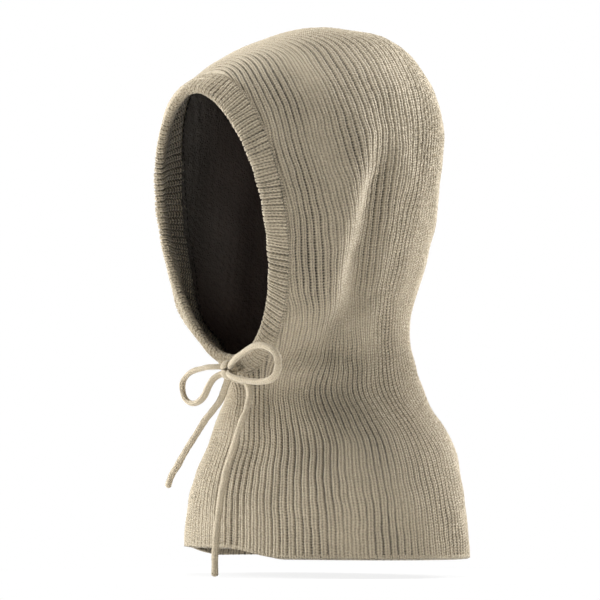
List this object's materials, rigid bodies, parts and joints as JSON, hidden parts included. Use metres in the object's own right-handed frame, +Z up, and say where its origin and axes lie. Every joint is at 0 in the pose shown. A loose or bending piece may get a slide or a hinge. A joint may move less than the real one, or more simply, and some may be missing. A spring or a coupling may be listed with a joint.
{
  "type": "knitted balaclava",
  "caption": "Rib-knit balaclava with a flared shoulder bib, a folded band round the face opening and a drawcord tied in a bow under the chin.",
  "frame": {"origin": "on the hem plane, under the vertical axis of the hood", "axes": "+Z up from hem to crown, the face looks along -Y, +X is the wearer's left"},
  "size_m": [0.2602, 0.2184, 0.4032],
  "materials": {
    "knit": "wool rib knit, matt with a soft halo",
    "cord": "flat knitted wool cord",
    "yarn": "wool buttonhole stitch",
    "lining": "dark brushed fleece",
    "thread": "dark sewing thread"
  },
  "bodies": {
    "bib": {"bib_knit": "knit", "hem_bind_off": "knit", "bib_back_seam": "knit"},
    "hood": {"hood_knit": "knit", "hood_back_seam": "knit", "face_band": "knit", "face_band_seam": "knit", "drawcord_run": "cord", "cord_eyelet_left": "yarn", "cord_eyelet_right": "yarn", "cord_lead_left": "cord", "cord_lead_right": "cord", "bow_knot": "cord", "cord_stub_left": "cord", "cord_stub_right": "cord", "hood_lining_left": "lining", "hood_lining_right": "lining", "lining_centre_seam": "thread", "lining_face_stitch": "thread", "lining_neck_stitch": "thread"},
    "loop_left": {"bow_loop_left": "cord"},
    "loop_right": {"bow_loop_right": "cord"},
    "tail_left": {"cord_tail_left": "cord"},
    "tail_right": {"cord_tail_right": "cord"}
  },
  "joints": [
    {"name": "head_turn", "type": "hinge", "parent": "bib", "child": "hood", "pos_m": [0, 0.019, 0.121], "axis": [0, 0, 1], "range_deg": [-30, 30]},
    {"name": "loop_left_swing", "type": "hinge", "parent": "hood", "child": "loop_left", "pos_m": [0.0085, -0.0765, 0.1345], "axis": [0, 0, -1], "range_deg": [-4, 45]},
    {"name": "loop_right_swing", "type": "hinge", "parent": "hood", "child": "loop_right", "pos_m": [-0.0045, -0.0765, 0.1345], "axis": [0, 0, 1], "range_deg": [-4, 45]},
    {"name": "tail_left_swing", "type": "hinge", "parent": "hood", "child": "tail_left", "pos_m": [0.0246, -0.0698, 0.1153], "axis": [-1, 0, 0], "range_deg": [-3, 45]},
    {"name": "tail_right_swing", "type": "hinge", "parent": "hood", "child": "tail_right", "pos_m": [-0.0088, -0.0699, 0.1133], "axis": [-1, 0, 0], "range_deg": [-5, 45]}
  ]
}
